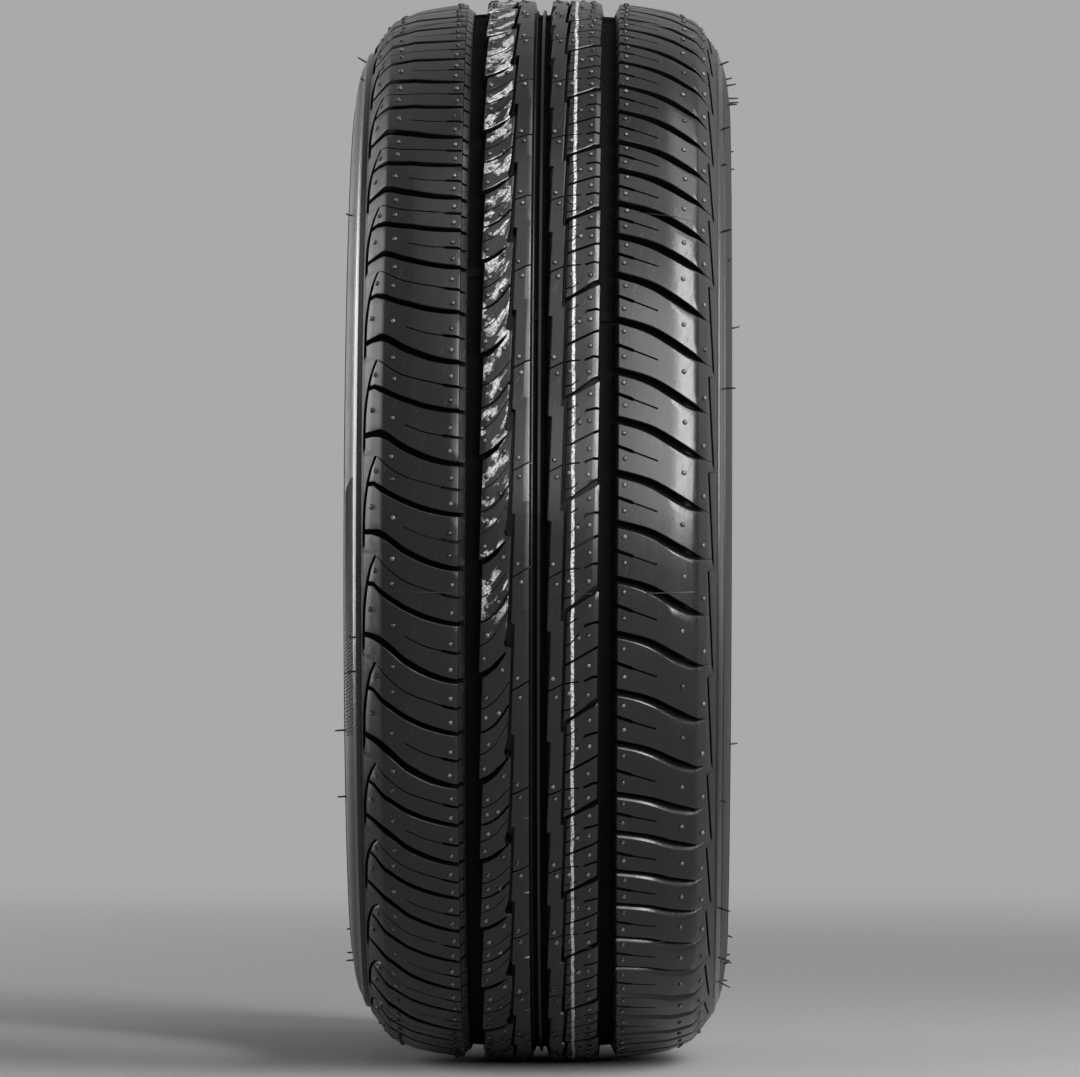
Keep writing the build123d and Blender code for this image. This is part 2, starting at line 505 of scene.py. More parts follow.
y_here[:, 1:5] = stick[:, 1:5] + STICK_LINES
y_here[:, 5] = (stick[:, 5] + STICK_LINES[-1] + inner[0]) / 2
y_here[:, chamfer] += tooth(count[:, chamfer], start=0.03, first=0.9, fall=1.8)
sink_here = np.tile(sink, (len(count), 1))
sink_here[:, 2:4] = STICK_DEPTH * np.interp(along[:, 2:4], STICK_ENDS, [0, 1, 1, 0])
sink_here[:, chamfer_foot] = CHAMFER_TILT * (y_here[:, chamfer_foot] - y_here[:, chamfer])
add_band("left_shoulder", count, y_here, np.maximum(depth, sink_here))

# %% [markdown]
# ## Left rib
# Blades that curve up to the right divide this rib like the barbs of a feather. The thick one in each
# pitch runs out into the narrow groove at the rib's right edge, so that edge steps back just above it.
# The rib could be cut as separate blocks, but one band with a moving edge needs no joining.

# %% Left rib
THICK_COURSE = eased([
    (-36, -0.045), (-33.6, -0.047), (-31, -0.067), (-28, -0.1), (-25, -0.145), (-22.5, -0.1985),
    (-20.3, -0.2515), (-18.2, -0.325), (-17, -0.325),
])
BARB_PLACES = [-36, -34.4, -31, -28, -25, -22.5, -20.3, -18.2, -17]
FINE_RISE = [0, 0, -0.018, -0.047, -0.09, -0.138, -0.188, -0.243, -0.25]
LAST_RISE = [0, -0.005, -0.035, -0.075, -0.13, -0.19, -0.245, -0.30, -0.31]
FINE_COURSE = eased(list(zip(BARB_PLACES, FINE_RISE)))
LAST_COURSE = eased(list(zip(BARB_PLACES, LAST_RISE)))
FINE_PHASE = 0.26
SLIM_PHASE = 0.48
LAST_PHASE = 0.70
THICK_DEPTH = 6.8
SLIM_DEPTH = 5.5
FINE_DEPTH = 4.0
FINE_HALF = 0.45
FUNNEL_START = 0.705
FUNNEL_PLACES = [0, 0.1, 0.25, 0.4, 0.6, 0.75, 0.85, 0.9, 0.94, 1]
FUNNEL_LINE = [-16.7, -16.9, -17.2, -17.7, -18.2, -18.6, -19.2, -19.8, -20.4, -20.9]
FUNNEL_EDGE_Y = -17.6

y = np.array([-35.7, -34.4, -33.6, -31, -28, -25, -22.5, -20.3, -18.2, FUNNEL_EDGE_Y, -17.3])
sink = np.array([GROOVE_DEPTH, 0.5, 0, 0, 0, 0, 0, 0, 0, 0.4, SLIT_DEPTH])
left_pull = np.interp(y, [-35.7, -35, -34.9, -33.6, -28], [0.3, 0.3, 1, 1, 0])
right_pull = np.interp(y, [-25, -18.2], [0, 1])
thick_half = np.interp(y, [-33.6, -31, -28, -25, -22.5, -20.3, -18.2], [1.6, 1.6, 1.7, 1.9, 1.3, 0.6, 1.7])
slim_half = np.interp(y, [-34, -20], [0.65, 1.0])
count, depth = lay_rows(y, [
    (GROOVE, THICK_COURSE(y), thick_half, THICK_DEPTH),
    (SIPE, FINE_PHASE + FINE_COURSE(y), FINE_HALF, FINE_DEPTH),
    (GROOVE, SLIM_PHASE + FINE_COURSE(y), slim_half, SLIM_DEPTH),
    (SIPE, LAST_PHASE + LAST_COURSE(y), FINE_HALF, FINE_DEPTH),
])
left_shift = tooth(count, start=-0.047, first=1.4, fall=2.1)
right_shift = np.interp(saw(count, FUNNEL_START), FUNNEL_PLACES, FUNNEL_LINE) - FUNNEL_EDGE_Y
add_band("left_rib", count, y + left_pull * left_shift + right_pull * right_shift, np.maximum(depth, sink))

# %% [markdown]
# ## Centre ribs
# The two slim ribs beside the centre groove have edges cut like saw teeth, and one sipe crosses each rib
# in every pitch. The left rib carries a bevel that widens down each tooth, with a ledge below it on the
# groove's wall. A low ridge on the groove's floor keeps stones from lodging there.

# %% Left centre rib
RIDGE_DEPTH = 5.6
LEDGE_DEPTHS = [5.95, 6.2]
BEVEL_Y = -8.65
BEVEL_FOOT_Y = -6.5
CENTRE_SIPE_HALF = 0.55
CENTRE_SIPE_DEPTH = 5.4
LEFT_SIPE_END = -6
BEVEL_STEP = 0.38
LEFT_SLIT_STEP = 0.495

y = np.array([-16.1, -15.6, -15.0, -12, -9.6, BEVEL_Y, BEVEL_FOOT_Y, -5.15, -4.55, -4.0, -2.0, -1.65])
sink = np.array([SLIT_DEPTH, 0.4, 0, 0, 0, 0, 0, *LEDGE_DEPTHS, GROOVE_DEPTH, GROOVE_DEPTH, RIDGE_DEPTH])
bevel = y == BEVEL_Y
bevel_foot = y == BEVEL_FOOT_Y
sipe_course = across((-16.5, 0.095), (-7.2, 0.01))(np.clip(y, -16.5, LEFT_SIPE_END))
count, depth = lay_rows(y, [
    (SIPE, sipe_course, CENTRE_SIPE_HALF, CENTRE_SIPE_DEPTH * (y < LEFT_SIPE_END)),
    (STEP, BEVEL_STEP, STEP_HALF, 0),
    (STEP, LEFT_SLIT_STEP, STEP_HALF, 0),
])
slit_shift = tooth(count, start=LEFT_SLIT_STEP, first=0.9, fall=2.0)
bevel_shift = tooth(count, start=BEVEL_STEP, first=1.25, fall=2.5)
slit_pull = np.interp(y, [-15, -12], [1, 0])
bevel_pull = np.interp(y, [-12, BEVEL_Y, -8.6], [0, 1, 0])
y_here = y + slit_pull * slit_shift + bevel_pull * bevel_shift
sink_here = np.tile(sink, (len(count), 1))
sink_here[:, bevel_foot] = CHAMFER_TILT * (y_here[:, bevel_foot] - y_here[:, bevel])
add_band("centre_left_rib", count, y_here, np.maximum(depth, sink_here))

# %% [markdown]
# ## Right centre rib
# The rib across the groove is toothed along both edges and has no bevel. Its band starts on the ridge of
# the groove's floor, where the left rib's band ends, so the ridge needs no piece of its own.

# %% Right centre rib
RIGHT_SIPE_START = 3
RIGHT_SLIT_STEP = 0.465
EDGE_STEP = 0.56

y = np.array([-0.05, 0.3, 2.2, 4.9, 5.6, 9, 12.1, 12.7, 13.2])
sink = np.array([RIDGE_DEPTH, GROOVE_DEPTH, GROOVE_DEPTH, 0.5, 0, 0, 0, 0.4, SLIT_DEPTH])
sipe_course = across((4.3, 0.1), (12.8, 0.03))(np.clip(y, RIGHT_SIPE_START, 13))
count, depth = lay_rows(y, [
    (SIPE, sipe_course, CENTRE_SIPE_HALF, CENTRE_SIPE_DEPTH * (y > RIGHT_SIPE_START)),
    (STEP, RIGHT_SLIT_STEP, STEP_HALF, 0),
    (STEP, EDGE_STEP, STEP_HALF, 0),
])
edge_shift = tooth(count, start=EDGE_STEP, first=1.1, fall=2.0)
slit_shift = tooth(count, start=RIGHT_SLIT_STEP, first=0.9, fall=1.8)
edge_pull = np.interp(y, [2.2, 2.3, 5.6, 9], [0, 1, 1, 0])
slit_pull = np.interp(y, [9, 12.1], [0, 1])
y_here = y + edge_pull * edge_shift + slit_pull * slit_shift
add_band("centre_right_rib", count, y_here, np.maximum(depth, sink))

# %% [markdown]
# ## Right rib
# Slanted slits divide this rib: a thick one and a slimmer one in each pitch, with short nicks in the
# right edge between them. Thin sipes start at the left edge. Two of them line up with the nicks without
# meeting them, and two more lie between.

# %% Right rib
THICK_SLIT_DEPTH = 6.0
SLIM_SLIT_DEPTH = 5.0
SLIM_SLIT_HALF = 0.9
SHORT_SIPE_DEPTH = 5.4
SHORT_SIPE_HALF = 0.5
SHORT_SIPE_END = 21
NICK_PLACES = [14, 18, 26, 31]

y = np.array([14.3, 14.8, 15.5, 18, 21.6, 22.6, 25.2, 26.2, 30.2, 31.0, 33.3, 34.6])
sink = np.array([SLIT_DEPTH, 0.4, 0, 0, 0, 0, 0, 0, 0, 0.1, 1.05, GROOVE_DEPTH])
reach = np.clip(y, 13, 33)
nick_depth = np.interp(y, [21.6, 22.6, 25.2, 26.2, 31.0, 33.3], [5.4, 0, 0, 5.6, 5.6, 0])
nick_half = np.interp(y, [22.6, 25.2], [0.5, 0.85])
sipe_depth = SHORT_SIPE_DEPTH * (y < SHORT_SIPE_END)
sipe_half = SHORT_SIPE_HALF
thick_course = across((14, 0.39), (31, 0.205))(reach)
thick_half = np.interp(y, [14, 20, 31], [1.0, 1.35, 1.75])
slim_course = across((14, 0.865), (31, 0.715))(reach)
slim_depth = SLIM_SLIT_DEPTH * (y < 32)
count, depth = lay_rows(y, [
    (SIPE, np.interp(y, NICK_PLACES, [0.03, 0.015, 0.0, -0.035]), nick_half, nick_depth),
    (SIPE, np.interp(y, NICK_PLACES, [0.275, 0.255, 0.13, 0.1]), sipe_half, sipe_depth),
    (GROOVE, thick_course, thick_half, THICK_SLIT_DEPTH),
    (SIPE, np.interp(y, NICK_PLACES, [0.505, 0.48, 0.39, 0.36]), sipe_half, sipe_depth),
    (SIPE, np.interp(y, NICK_PLACES, [0.69, 0.665, 0.505, 0.48]), nick_half, nick_depth),
    (SIPE, slim_course, SLIM_SLIT_HALF, slim_depth),
])
slit_shift = tooth(count, start=0.385, first=1.0, fall=2.0)
edge_shift = tooth(count, start=0.21, first=1.0, fall=2.0)
slit_pull = np.interp(y, [15.5, 18], [1, 0])
edge_pull = np.interp(y, [26.2, 30.2, 31.0, 33.3, 34.6], [0, 1, 1, 0.5, 0])
add_band("right_rib", count, y + slit_pull * slit_shift + edge_pull * edge_shift, np.maximum(depth, sink))

# %% [markdown]
# ## Right shoulder
# Here the grooves sweep down and outwards, and thin out to nothing at the tread's edge. Their lower wall
# is a gentle ramp, which catches the light. A short slit, thick and then thin, starts between each two,
# and one slit in every pitch runs down the buttress.

# %% Right shoulder
RIGHT_FALL = eased([
    (40, 0), (45, 0), (50, 0.02), (55, 0.04), (60, 0.065), (65, 0.097), (70, 0.14), (75, 0.19), (80, 0.237),
    (85, 0.283), (90, 0.325), (93, 0.345), (97, 0.36), (103, 0.361),
])
SHORT_FALL = across((44, 0.0), (68, 0.14))
MAIN_PHASES = (0.1, 0.58)
SHORT_PHASES = (0.33, 0.84)
EDGE_STEP_PHASE = 0.69
EDGE_STEP_HALF = 0.3
EDGE_SLIT_START = 0.051
EDGE_SLIT_TOP = 96.9
EDGE_SLIT_TRAVEL = 2.9
EDGE_SLIT_DEPTH = 2.0
EDGE_SLIT_LINES = np.array([-0.6, -0.3, 0.3, 0.6])

inner = np.array([
    40.9, 44.3, 45.2, 48.5, 52.8, 54, 58.5, 63, 66.6, 67.6, 71.5, 76, 80.5, 84.5, 87.5, 89.6, 91, 92.2, 93.8,
    95.4,
])
y = np.append(inner, [98.5, 98.5, 98.5, 98.5, 101.6])
sink = np.interp(y, [40.9, 44.3, 45.2], [GROOVE_DEPTH, 0.7, 0])
main_depth = np.interp(y, [44, 80, 90, 93.8, 95.4, 96.3], [7.6, 7.2, 5.0, 2.2, 0.9, 0])
main_half = np.interp(y, [44, 55, 65, 75, 85, 90, 96], [1.75, 1.8, 2.15, 2.5, 2.25, 1.6, 0.4])
short_depth = np.interp(y, [52.8, 54, 66.6, 67.6], [6.4, 5.4, 5.2, 0])
short_half = np.interp(y, [52.8, 54], [1.15, 0.58])
short_course = np.where(y < 68, SHORT_FALL(np.maximum(y, 44)), RIGHT_FALL(y))
count, depth = lay_rows(y, [
    (RAMPED, MAIN_PHASES[0] + RIGHT_FALL(y), main_half, main_depth),
    (SIPE, SHORT_PHASES[0] + short_course, short_half, short_depth),
    (RAMPED, MAIN_PHASES[1] + RIGHT_FALL(y), main_half, main_depth),
    (STEP, EDGE_STEP_PHASE + RIGHT_FALL(y), EDGE_STEP_HALF, 0),
    (SIPE, SHORT_PHASES[1] + short_course, short_half, short_depth),
])
along = saw(count[:, -5:-1], EDGE_SLIT_START)
y_here = np.tile(y, (len(count), 1))
y_here[:, -5:-1] = EDGE_SLIT_TOP + EDGE_SLIT_TRAVEL * along + EDGE_SLIT_LINES
sink_here = np.tile(sink, (len(count), 1))
sink_here[:, -4:-2] = EDGE_SLIT_DEPTH * np.interp(along[:, 1:3], [0.9, 0.96], [1, 0])
add_band("right_shoulder", count, y_here, np.maximum(depth, sink_here))

# %% [markdown]
# ## Sidewalls, beads and liner
# The rest of the tyre is a plain ring of revolution: a profile carried round a circle. It leaves the right
# buttress, swells to the full width, goes round the bead that grips the rim, lines the inside and comes
# back up the left side, which swells a little more. Raised and sunken rings are steps in the profile.

# %% Sidewalls, beads and liner
CASING_ROWS = 96
WALL_COLUMNS = 18
WALL_FOOT = 223
RING_RAMP = 0.25
RIGHT_TOP = 293.6
LEFT_TOP = 291.5
WALL_RADII = [WALL_FOOT, 226, 232, 240, 250, 257, 262.5, 272.9, 280.8, 287.5, 292.5, 295]
LEFT_HALF = [103.9, 105.9, 108.7, 111.5, 113.8, 114.5, 114.3, 112.9, 110.5, 106.8, 103.0, 101.3]
RIGHT_HALF = [103.9, 105.6, 107.6, 109.2, 110.4, 110.6, 110.4, 109.2, 107.4, 104.9, 102.5, 101.1]
LEFT_WIDTH = eased(list(zip(WALL_RADII, LEFT_HALF)))
RIGHT_WIDTH = eased(list(zip(WALL_RADII, RIGHT_HALF)))
BEAD = [
    (103.2, 222), (100.5, 219.8), (96.5, 217.4), (92.6, 215.2), (90.6, 213), (89.9, 210.5), (89.4, 208),
    (88.2, 205.6), (86.2, 203.6), (83.9, 202.8), (71.6, 202.8), (70.9, 203.6), (71.4, 206.2),
]
LINER = [
    (75.5, 213.4), (86, 230), (92, 239.4), (97.6, 248), (101.4, 255.5), (102.6, 262), (101.6, 270),
    (98.4, 279.5), (93, 287.2), (86, 293.6), (77, 299), (66.8, 303), (50, 304.3), (10, 304.5),
]

# Rings on the sidewall: inner and outer radius, and the height at each
BOTH_RINGS = [(258.0, 259.4, 0.45, 0.45), (244.5, 246.1, 0.45, 0.45), (227.0, 232.0, 1.7, 1.7)]
LEFT_RINGS = [(289.7, 291.0, -3.0, -3.0), (285.2, 289.3, 0.4, 1.4)]
RIGHT_RINGS = [(290.4, 292.4, 0.8, 0.8), (288.8, 290.0, -1.2, -1.2), (283.4, 284.0, 0.4, 0.4)]


def sidewall(width, rings, top):
    """Half widths and radii of one sidewall from the buttress down to the bead, with its rings as steps."""
    plain = np.linspace(top, WALL_FOOT, WALL_COLUMNS)
    edges = [(high + RING_RAMP, high, low, low - RING_RAMP) for low, high, _, _ in rings]
    radius = np.unique(np.concatenate([plain, *edges]))[::-1]
    relief = np.zeros_like(radius)
    for low, high, low_height, high_height in rings:
        places = [low - RING_RAMP, low, high, high + RING_RAMP]
        relief += np.interp(radius, places, [0, low_height, high_height, 0])
    return np.stack([width(radius) + relief, radius], axis=-1)


right_side = np.concatenate([sidewall(RIGHT_WIDTH, BOTH_RINGS + RIGHT_RINGS, RIGHT_TOP), BEAD, LINER])
left_side = np.concatenate([sidewall(LEFT_WIDTH, BOTH_RINGS + LEFT_RINGS, LEFT_TOP), BEAD, LINER]) * (-1, 1)
outline = np.concatenate([right_side, left_side[::-1]])
casing_count = np.linspace(0, PITCHES, CASING_ROWS, endpoint=False)[:, None] + np.zeros(len(outline))
bands.append((casing_count, ring_points(casing_count, outline[:, 0], outline[:, 1])))
print("casing rows and columns:", casing_count.shape)

# %% [markdown]
# ## One closed skin
# The bands have different numbers of rows, so they can't share points where they meet. A strip of
# triangles zips each pair of neighbouring loops together instead: it walks down both loops at once and
# always steps along the one that lags behind. The last strip joins the casing to the left shoulder, and
# the skin is closed.

# %% One closed skin
SKIN_SMOOTH_BELOW = 33


def band_faces(first, rows, columns):
    """Four-sided faces of a band that closes on itself after its last row."""
    here = first + np.arange(rows * columns).reshape(rows, columns)
    below = np.roll(here, -1, axis=0)
    return np.stack([here[:, :-1], below[:, :-1], below[:, 1:], here[:, 1:]], axis=-1).reshape(-1, 4)


def zip_loops(left, left_count, right, right_count):
    """Triangles between two loops of points: their edges in the order of the edges' middles, each edge
    joined to the point that the other loop has reached by then."""
    offset = (right_count - left_count[0] + PITCHES / 2) % PITCHES - PITCHES / 2
    nearest = int(np.argmin(np.abs(offset)))
    lapped = np.arange(len(right)) >= len(right) - nearest
    right = np.roll(right, -nearest)
    right_count = np.roll(right_count, -nearest) + PITCHES * lapped
    right_count = right_count - PITCHES * np.round((right_count[0] - left_count[0]) / PITCHES)
    left_middle = (left_count + np.append(left_count[1:], left_count[0] + PITCHES)) / 2
    right_middle = (right_count + np.append(right_count[1:], right_count[0] + PITCHES)) / 2
    order = np.argsort(np.concatenate([left_middle, right_middle]), kind="stable")
    on_left = order < len(left)
    i = np.cumsum(on_left) - on_left
    j = np.cumsum(~on_left) - ~on_left
    onward = np.where(on_left, left[(i + 1) % len(left)], right[(j + 1) % len(right)])
    return np.stack([left[i % len(left)], onward, right[j % len(right)]], axis=-1)


first = np.cumsum([0] + [count.size for count, _ in bands])
index = [start + np.arange(count.size).reshape(count.shape) for start, (count, _) in zip(first, bands)]
quads = np.concatenate([band_faces(start, *count.shape) for start, (count, _) in zip(first, bands)])
strips = []
for i, (count, _) in enumerate(bands):
    j = (i + 1) % len(bands)
    strips.append(zip_loops(index[i][:, -1], count[:, -1], index[j][:, 0], bands[j][0][:, 0]))
strips = np.concatenate(strips)
skin_points = np.concatenate([points.reshape(-1, 3) for _, points in bands])
tyre = new_piece("tyre_skin", skin_points, quads.tolist() + strips.tolist(), SKIN_SMOOTH_BELOW)
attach(tyre, "root")
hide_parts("tyre")
print("triangles in the skin:", 2 * len(quads) + len(strips))

# %% [markdown]
# ## Pins and tubes
# The small raised details are all tubes: a row of rings of points with both ends capped. Copies of one
# object would do for the pins, but hundreds are heavy to handle, so all pins of a kind are one mesh.

# %% Pins and tubes
PIN_SUNK = 0.4


def closed_tubes(rings):
    """Faces of many tubes at once, with the caps at both ends."""
    index = np.arange(rings[..., 0].size).reshape(rings.shape[:3])
    here = index[:, :-1]
    there = index[:, 1:]
    walls = np.stack([here, np.roll(here, -1, axis=2), np.roll(there, -1, axis=2), there], axis=-1)
    return walls.reshape(-1, 4).tolist() + index[:, 0, ::-1].tolist() + index[:, -1].tolist()


def pins(count, y, radius, lean, length, bend, stations, thickness, sides):
    """Rings of round pins. Each stands on its place along a line that leans from straight out, at 0, to
    along the axle, at a quarter turn, and bends along the tyre with the square of its length."""
    angle = turn(count)
    none = np.zeros_like(angle)
    outward = np.stack([np.cos(angle), none, np.sin(angle)], axis=-1)
    side = np.stack([-np.sin(angle), none, np.cos(angle)], axis=-1)
    axle = np.array([0.0, 1.0, 0.0])
    stem = np.cos(lean)[:, None] * outward + np.sin(lean)[:, None] * axle
    other = np.cross(stem, side)
    root = ring_points(count, y, radius) / MM
    reach = np.array(stations) * (length + PIN_SUNK)[:, None] - PIN_SUNK
    bow = bend[:, None] * np.array(stations) ** 2
    centre = root[:, None] + reach[..., None] * stem[:, None] + bow[..., None] * side[:, None]
    around = np.linspace(0, 2 * np.pi, sides, endpoint=False)
    circle = np.cos(around)[:, None] * side[:, None] + np.sin(around)[:, None] * other[:, None]
    return MM * (centre[:, :, None] + np.array(thickness)[:, None, None] * circle[:, None])


print("pins are sunk by mm:", PIN_SUNK)

# %% [markdown]
# ## Pips
# Air leaves the mould through tiny holes, and the rubber that follows it sets as pips on the tread. They
# sit at the same places in every pitch, apart from a little scatter, and lean with the surface.

# %% Pips
PIP_PLACES = [
    (-85.5, 0.16), (-85.2, 0.54), (-85.2, 0.93), (-51.5, 0.16), (-51.5, 0.40), (-52.0, 0.675), (-52.0, 0.90),
    (-98.2, 0.42), (-95.6, 0.06), (-30.6, 0.15), (-31.0, 0.345), (-30.5, 0.59), (-32.0, 0.81),
    (-21.5, 0.895), (-23.5, 0.30), (-11.5, 0.135), (-13.0, 0.97), (9.3, 0.14), (7.4, 0.98), (28.0, 0.12),
    (28.6, 0.35), (28.2, 0.60), (28.0, 0.86), (22.0, 0.62), (16.8, 0.12), (48.4, 0.215), (48.4, 0.455),
    (48.4, 0.71), (48.4, 0.965), (82.4, 0.085), (82.4, 0.585), (94.3, 0.30), (94.3, 0.79),
]
PIP_SCATTER_Y = 0.35
PIP_SCATTER_COUNT = 0.006
PIP_LENGTHS = (0.8, 1.3)
PIP_STATIONS = [0, 0.6, 1]
PIP_THICKNESS = [1.75, 1.5, 0.8]
PIP_SIDES = 6
PIP_SMOOTH_BELOW = 50
SLOPE_STEP = 0.1
chance = np.random.default_rng(16)

pip_y, pip_phase = np.array(PIP_PLACES).T
pip_y = np.tile(pip_y, PITCHES) + chance.normal(0, PIP_SCATTER_Y, PITCHES * len(PIP_PLACES))
pip_count = np.repeat(np.arange(PITCHES), len(PIP_PLACES)) + np.tile(pip_phase, PITCHES)
pip_count = pip_count + chance.normal(0, PIP_SCATTER_COUNT, pip_count.size)
pip_slope = (tread_drop(pip_y + SLOPE_STEP) - tread_drop(pip_y - SLOPE_STEP)) / (2 * SLOPE_STEP)
pip_length = chance.uniform(*PIP_LENGTHS, pip_count.size)
pip_rings = pins(
    pip_count, pip_y, OUTER_RADIUS - tread_drop(pip_y), np.arctan(pip_slope), pip_length,
    np.zeros(pip_count.size), PIP_STATIONS, PIP_THICKNESS, PIP_SIDES,
)
pips = new_piece("vent_pips", pip_rings, closed_tubes(pip_rings), PIP_SMOOTH_BELOW)
print("pips:", len(pip_rings))

# %% [markdown]
# ## Hairs
# The sidewalls are vented too, and there the thin rubber stays on as hairs. They grow in three rows round
# each wall, many have broken off, and each that is left bends its own way.

# %% Hairs
HAIR_RADII = [284.5, 275.0, 262.0]
HAIR_SHARE = {-1: 0.22, 1: 0.38}
HAIR_SCATTER = 1.5
HAIR_LENGTHS = (2.0, 7.0)
HAIR_LEAN_SPREAD = 0.1
HAIR_BEND_SPREAD = 1.2
HAIR_STATIONS = [0, 0.3, 0.6, 0.85, 1]
HAIR_THICKNESS = [0.65, 0.6, 0.55, 0.5, 0.3]
HAIR_SIDES = 5
HAIR_SMOOTH_BELOW = 60

hair_rows = []
for sign, share in HAIR_SHARE.items():
    for row_radius in HAIR_RADII:
        kept = np.flatnonzero(chance.random(PITCHES) < share)
        count = kept + chance.uniform(0, 1, kept.size)
        radius = row_radius + chance.uniform(-HAIR_SCATTER, HAIR_SCATTER, kept.size)
        hair_rows.append(np.stack([count, radius, np.full(kept.size, sign)]))
hair_count, hair_radius, hair_side = np.concatenate(hair_rows, axis=1)


def side_width(radius):
    """Half width of the sidewall that each hair grows from."""
    return np.where(hair_side < 0, LEFT_WIDTH(radius), RIGHT_WIDTH(radius))


side_slope = side_width(hair_radius + 0.5) - side_width(hair_radius - 0.5)
hair_lean = np.pi / 2 + np.arctan(side_slope) + chance.normal(0, HAIR_LEAN_SPREAD, hair_count.size)
hair_length = chance.uniform(*HAIR_LENGTHS, hair_count.size)
hair_bend = chance.normal(0, HAIR_BEND_SPREAD, hair_count.size)
hair_rings = pins(
    hair_count, hair_side * side_width(hair_radius), hair_radius, hair_side * hair_lean, hair_length,
    hair_bend, HAIR_STATIONS, HAIR_THICKNESS, HAIR_SIDES,
)
hairs = new_piece("vent_hairs", hair_rings, closed_tubes(hair_rings), HAIR_SMOOTH_BELOW)
print("hairs:", len(hair_rings))

# %% [markdown]
# ## Wear bars and mould lines
# Low bars across the grooves come level with the tread once it is worn out. The mould opens in nine
# segments, and a fine raised line crosses every rib where two of them met. Both follow the tread, so
# each is a short tube whose rings lie on the tread's own surface.

# %% Wear bars and mould lines
BAR_HEIGHT = 1.6
BAR_SUNK = 0.4
BAR_LENGTH = 0.14
BAR_GROOVES = [(-43.4, -35.4, 3.02), (-3.9, 2.1, 3.5), (34.3, 41.2, 3.5)]
BARS_ROUND = 6
LINE_START = 2.23
PITCHES_PER_SEGMENT = 4
LINE_HEIGHT = 0.22
LINE_SUNK = 0.15
LINE_HALF_WIDTH = 0.006
LINE_RIBS = [(-90.5, -49.6), (-33, -20), (-14, -9.5), (6.5, 12), (16, 30), (45.6, 96.5)]
LINE_STATIONS = 14
CRISP_BELOW = 20

bar_place = np.arange(BARS_ROUND)[:, None, None] * PITCHES / BARS_ROUND
bar_half = BAR_LENGTH / 2 * np.array([1, -1, -0.75, 0.75])
bar_depth = GROOVE_DEPTH + np.array([BAR_SUNK, BAR_SUNK, -BAR_HEIGHT, -BAR_HEIGHT])
bar_rings = np.concatenate([
    on_tread(start + bar_place + bar_half, np.array([low, high])[:, None], bar_depth)
    for low, high, start in BAR_GROOVES
])
bars = new_piece("wear_bars", bar_rings, closed_tubes(bar_rings), CRISP_BELOW)

line_place = LINE_START + np.arange(0, PITCHES, PITCHES_PER_SEGMENT)[:, None, None]
line_half = LINE_HALF_WIDTH * np.array([1, -1, 0])
line_depth = np.array([LINE_SUNK, LINE_SUNK, -LINE_HEIGHT])
line_rings = np.concatenate([
    on_tread(line_place + line_half, np.linspace(low, high, LINE_STATIONS)[:, None], line_depth)
    for low, high in LINE_RIBS
])
mould_lines = new_piece("mould_lines", line_rings, closed_tubes(line_rings), CRISP_BELOW)
for piece in (pips, hairs, bars, mould_lines):
    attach(piece, "root")
print("wear bars and mould lines:", len(bar_rings), len(line_rings))

# %% [markdown]
# ## Hatched band
# Parts of the left sidewall carry a band of fine slanted ridges, which hides small flaws of the moulding
# and breaks up the gleam. Each ridge is a low tube with a triangular section that follows the wall. A bump
# pattern would cost less, but it would vanish along the outline, where the wall is seen edge on.

# %% Hatched band
HATCH_FIRST = -30.0
HATCH_START = 4.5
HATCH_END = 35.5
HATCH_REPEATS = 3
HATCH_LAP = 360 / HATCH_REPEATS
HATCH_STEP = 0.46
HATCH_RADII = np.linspace(270.5, 283.2, 5)
HATCH_LEAN = 0.0022
HATCH_HALF = 0.0018
HATCH_HEIGHT = 0.5
HATCH_SUNK = 0.2

hatch_angle = HATCH_FIRST + np.arange(HATCH_START, HATCH_END, HATCH_STEP)
hatch_angle = np.radians(np.add.outer(HATCH_LAP * np.arange(HATCH_REPEATS), hatch_angle).ravel())
hatch_slant = HATCH_LEAN * (HATCH_RADII - HATCH_RADII.mean())
hatch_turn = hatch_angle[:, None, None] + hatch_slant[:, None] + HATCH_HALF * np.array([-1, 1, 0])
hatch_y = -(LEFT_WIDTH(HATCH_RADII)[:, None] + np.array([-HATCH_SUNK, -HATCH_SUNK, HATCH_HEIGHT]))
hatch_x = HATCH_RADII[:, None] * np.cos(hatch_turn)
hatch_z = HATCH_RADII[:, None] * np.sin(hatch_turn)
hatch_rings = MM * np.stack([hatch_x, np.broadcast_to(hatch_y, hatch_x.shape), hatch_z], axis=-1)
hatch = new_piece("hatched_band", hatch_rings, closed_tubes(hatch_rings), CRISP_BELOW)
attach(hatch, "root")
print("ridges in the hatched band:", len(hatch_rings))

# %% [markdown]
# ## Places on the tyre
# A finish that changes over the tyre has to know the place. From the tyre's own coordinates come the
# distance to the middle, the radius and the angle, and the formula of the tread's surface then gives the
# depth below it. Masks could be painted by hand, but these end by themselves where a groove begins.

# %% Places on the tyre
BUTTRESS_END = (100.8, 102.5)
SHALLOWER_FROM = 85
SHALLOWER_SHARE = 0.4
CUT_DEPTH = (4.8, 6.8)
LIP_DEPTH = (1.0, 2.0)
# Depths of each pip's side, which gets a painted shadow.
PIP_SHADOW_DEPTHS = (-0.62, -0.32)
# Depths of each pip's end, which gets a painted highlight.
PIP_TOP = (-0.75, -0.62)
TREAD_TOP = (-0.25, 0.4)
WALL_FROM = (281.0, 285.0)
BUTTRESS = (91, 103)
LEFT_FOOT = (-104.6, -102.2)
LEFT_WALL_Y = -100.0
SUNK_RING_Y = -103.0
WALL_DULL = 0.25
FOOT_DULL = 0.45
# The hatched band's gaps take the dull finish as painted shade between the ridges.
HATCH_GAP_SHADE = 0.4

